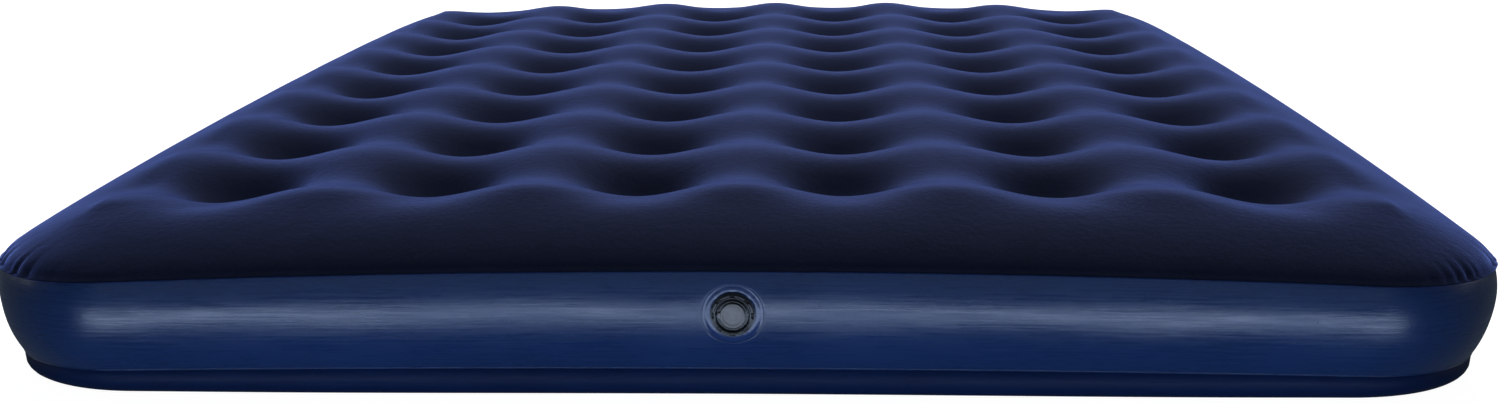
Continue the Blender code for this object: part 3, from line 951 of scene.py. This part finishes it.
def flock_material():
    recipe = Recipe("navy_flock", (0.006, 0.008, 0.026), 0.95, Sheen_Weight=0.95,
                    Sheen_Roughness=0.30, Sheen_Tint=(0.22, 0.33, 1.0, 1.0),
                    Specular_IOR_Level=0.03)
    patches = recipe.ramp(recipe.noise(5.0, 4.0, 0.6, 0.4), 0.32, 0.68)
    brushed = recipe.ramp(recipe.noise((26.0, 90.0, 60.0), 3.0), 0.35, 0.65)
    tone = recipe.maths("ADD", recipe.maths("MULTIPLY", patches, 0.6),
                        recipe.maths("MULTIPLY", brushed, 0.4))
    base = recipe.mix(tone, (0.0036, 0.0052, 0.0136), (0.0070, 0.0100, 0.0280))
    fibre = recipe.noise(950.0, 2.0, 0.7)
    pile = recipe.mix(recipe.ramp(fibre, 0.35, 0.72), (0.0024, 0.0034, 0.0090), base)
    lint = recipe.ramp(recipe.cells(34.0), 0.035, 0.018)
    kept = recipe.ramp(recipe.noise(21.0, 1.0), 0.56, 0.62)
    lint = recipe.maths("MULTIPLY", lint, kept)
    recipe.colour(recipe.mix(recipe.maths("MULTIPLY", lint, 0.35), pile, LINT_COLOUR))
    tufts = recipe.noise(170.0, 3.0, 0.6)
    recipe.bump(((recipe.noise(16.0, 3.0), 0.004, 0.25), (tufts, 0.0012, 0.35),
                 (fibre, 0.0006, 0.40)))
    return recipe.material


def vinyl_material(name, dark, bright, roughness, specular=0.5, coat=0.0):
    recipe = Recipe(name, dark, roughness, Coat_Weight=coat, Coat_Roughness=0.25,
                    Specular_IOR_Level=specular)
    cloudy = recipe.ramp(recipe.noise(7.0, 4.0, 0.6), 0.3, 0.7)
    streaks = recipe.noise((11.0, 11.0, 420.0), 4.0, 0.65)
    grain = recipe.noise((330.0, 330.0, 60.0), 2.0, 0.6)
    specks = recipe.ramp(recipe.cells(150.0), 0.16, 0.05)
    some = recipe.ramp(recipe.noise(38.0, 2.0), 0.52, 0.64)
    specks = recipe.maths("MULTIPLY", specks, some)
    tone = recipe.maths("ADD", recipe.maths("MULTIPLY", cloudy, 0.55),
                        recipe.maths("MULTIPLY", streaks, 0.45))
    base = recipe.mix(tone, dark, bright)
    recipe.colour(recipe.mix(recipe.maths("MULTIPLY", specks, 0.10), base, SCUFF_COLOUR))
    rough = recipe.maths("ADD", recipe.ramp(streaks, 0.30, 0.70, roughness - 0.09,
                                            roughness + 0.11),
                         recipe.ramp(cloudy, 0.0, 1.0, -0.03, 0.04))
    recipe.roughness(rough)
    recipe.bump(((recipe.noise(24.0, 3.0), 0.0030, 0.20), (streaks, 0.00035, 0.45),
                 (grain, 0.00012, 0.40), (specks, 0.00030, 0.50)))
    return recipe.material


def plastic_material(name, dark, bright, roughness, specular):
    recipe = Recipe(name, dark, roughness, Specular_IOR_Level=specular)
    wear = recipe.ramp(recipe.noise(240.0, 4.0, 0.6), 0.35, 0.70)
    scratches = recipe.noise((2600.0, 300.0, 500.0), 2.0, 0.7)
    fine = recipe.noise(3200.0, 2.0)
    recipe.colour(recipe.mix(wear, dark, bright))
    recipe.roughness(recipe.ramp(scratches, 0.3, 0.7, roughness - 0.08, roughness + 0.12))
    recipe.bump(((recipe.noise(420.0, 2.0), 0.00025, 0.35), (fine, 0.00005, 0.40),
                 (scratches, 0.00004, 0.30)))
    return recipe.material


def rubber_material():
    recipe = Recipe("valve_rubber_looks", (0.012, 0.012, 0.013), 0.62, Specular_IOR_Level=0.35)
    dust = recipe.ramp(recipe.noise(500.0, 4.0, 0.7), 0.45, 0.75)
    recipe.colour(recipe.mix(dust, (0.010, 0.010, 0.011), (0.030, 0.030, 0.033)))
    recipe.bump(((recipe.noise(1500.0, 3.0), 0.00008, 0.5),))
    return recipe.material


def floor_material():
    """Pale floor whose own glow keeps it near white wherever the lights fall off."""
    recipe = Recipe("pale_floor", (0.30, 0.30, 0.30), 0.9, Specular_IOR_Level=0.1)
    mottled = recipe.noise(3.0, 3.0)
    recipe.colour(recipe.mix(mottled, (0.24, 0.24, 0.24), (0.26, 0.26, 0.26)))
    recipe.shader.inputs["Emission Color"].default_value = (1.0, 1.0, 1.0, 1.0)
    recipe.shader.inputs["Emission Strength"].default_value = FLOOR_GLOW
    return recipe.material


# ---- the mattress -------------------------------------------------------------------------
FLOCK = flock_material()
BLUE = vinyl_material("blue_vinyl_looks", (0.0016, 0.0150, 0.062), (0.0026, 0.0220, 0.090),
                      0.29, 0.50)
# The underside and hem get the vinyl at about half the band's brightness: painted shade under
# the mattress, which these lights don't cast there because the floor lets their light through.
SHADED_UNDER = vinyl_material("bottom_vinyl_painted_shade", (0.0010, 0.0066, 0.032), (0.0016, 0.0105, 0.048),
                       0.55, 0.12)
BEAM = vinyl_material("beam_vinyl_looks", (0.010, 0.024, 0.080), (0.018, 0.040, 0.120), 0.45)
COLLAR = vinyl_material("collar_vinyl_looks", (0.0045, 0.0200, 0.085), (0.0070, 0.0270, 0.105),
                        0.28, 0.55, 0.20)
BLACK = plastic_material("black_plastic_looks", (0.004, 0.004, 0.005), (0.009, 0.009, 0.010),
                         0.24, 0.5)
GREY = plastic_material("grey_plastic_looks", (0.125, 0.113, 0.109), (0.170, 0.156, 0.150),
                        0.42, 0.5)
RUBBER = rubber_material()

top = finish_piece(build_top(FLOCK), "mattress", "flocked_top", "top_sheet")
band = finish_piece(build_band(BLUE), "mattress", "blue_vinyl", "side_band", "valve_panel")
bottom = finish_piece(build_bottom(SHADED_UNDER), "mattress", "bottom_vinyl", "bottom_sheet")
for beam_row in range(1, ROWS + 1):
    for beam_column in range(1, COLUMNS + 1):
        build_beam(beam_row, beam_column, BEAM)

finish_piece(build_collar(COLLAR), "mattress", "collar_vinyl", "valve_collar")
finish_piece(build_socket(BLACK), "mattress", "valve_plastic", "valve_body")
finish_piece(build_seal(RUBBER), "seal", "valve_rubber", "cap_gasket")
finish_piece(build_cap(BLACK), "cap", "valve_plastic", "screw_cap")
finish_piece(build_plug(GREY), "plug", "plug_plastic", "centre_plug")
for kept_node, kept_material in (("flap_seat", BLACK), ("check_flap", RUBBER)):
    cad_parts[kept_node].data.materials[0] = kept_material

# ---- floor, lights and camera -------------------------------------------------------------
FLOOR_SIZE = 30.0
WHITE = (1.0, 1.0, 1.0)
# name, place, aim, size across and up, watts, colour
LIGHTS = (
    ("overhead", (0.15, 1.0, 2.6), (0, 0.1, 0.2), (2.5, 3.0), 172, WHITE),
    ("rear", (0, 4.2, 1.5), (0, 0, 0.2), (4.5, 1.6), 60, WHITE),
    ("front_strip", (0, -1.185, 0.010), (0, -1.01, 0.088), (1.50, 0.050), 1.50,
     (0.56, 0.72, 1.0)),
    ("front_fill", (0, -4.5, 0.75), (0, -1.0, 0.1), (5.0, 1.3), 8, (0.62, 0.80, 1.0)),
    ("left_edge", (-3.0, -0.6, 0.8), (0, -0.6, 0.1), (1.6, 1.0), 3.5, WHITE),
    ("right_edge", (3.0, -0.6, 0.8), (0, -0.6, 0.1), (1.6, 1.0), 3, WHITE),
)
WORLD_COLOUR = (0.66, 0.82, 1.0, 1.0)
WORLD_STRENGTH = 0.12
floor_surface = Surface()
corners = floor_surface.add([(-FLOOR_SIZE, -FLOOR_SIZE, 0), (FLOOR_SIZE, -FLOOR_SIZE, 0),
                             (FLOOR_SIZE, FLOOR_SIZE, 0), (-FLOOR_SIZE, FLOOR_SIZE, 0)])
floor_surface.close(corners)
floor = floor_surface.build("studio_floor", floor_material())
floor.visible_diffuse = False
floor.visible_glossy = False
floor.visible_shadow = False


def add_light(name, place, aim, size, power, colour):
    light = bpy.data.lights.new(name, "AREA")
    light.shape = "RECTANGLE"
    light.size, light.size_y = size
    light.energy = power
    light.color = colour
    thing = bpy.data.objects.new(name, light)
    thing.location = place
    thing.rotation_euler = (Vector(aim) - Vector(place)).to_track_quat("-Z", "Y").to_euler()
    thing.visible_camera = False
    bpy.context.scene.collection.objects.link(thing)


for light_row in LIGHTS:
    add_light(*light_row)

world = bpy.data.worlds.new("studio")
bpy.context.scene.world = world
world.use_nodes = True
background = world.node_tree.nodes["Background"].inputs
background["Color"].default_value = WORLD_COLOUR
background["Strength"].default_value = WORLD_STRENGTH
bpy.context.scene.view_settings.view_transform = "Standard"

# The photo's camera; angles in degrees, focal length in pixels of a FRAME_PX wide picture.
CAMERA_PLACE = (0.0802, -2.6603, 0.5648)
CAMERA_YAW = 2.173
CAMERA_PITCH = 12.402
CAMERA_ROLL = -0.38
FOCAL_PX = 1802.5
FRAME_PX = 1500.0
camera = bpy.data.objects.new("camera", bpy.data.cameras.new("camera"))
camera.data.sensor_width = 36.0
camera.data.lens = FOCAL_PX / FRAME_PX * camera.data.sensor_width
turn = (Matrix.Rotation(math.radians(CAMERA_YAW), 4, "Z")
        @ Matrix.Rotation(math.radians(90 - CAMERA_PITCH), 4, "X")
        @ Matrix.Rotation(math.radians(CAMERA_ROLL), 4, "Z"))
camera.matrix_world = Matrix.Translation(CAMERA_PLACE) @ turn
bpy.context.scene.collection.objects.link(camera)
bpy.context.scene.camera = camera
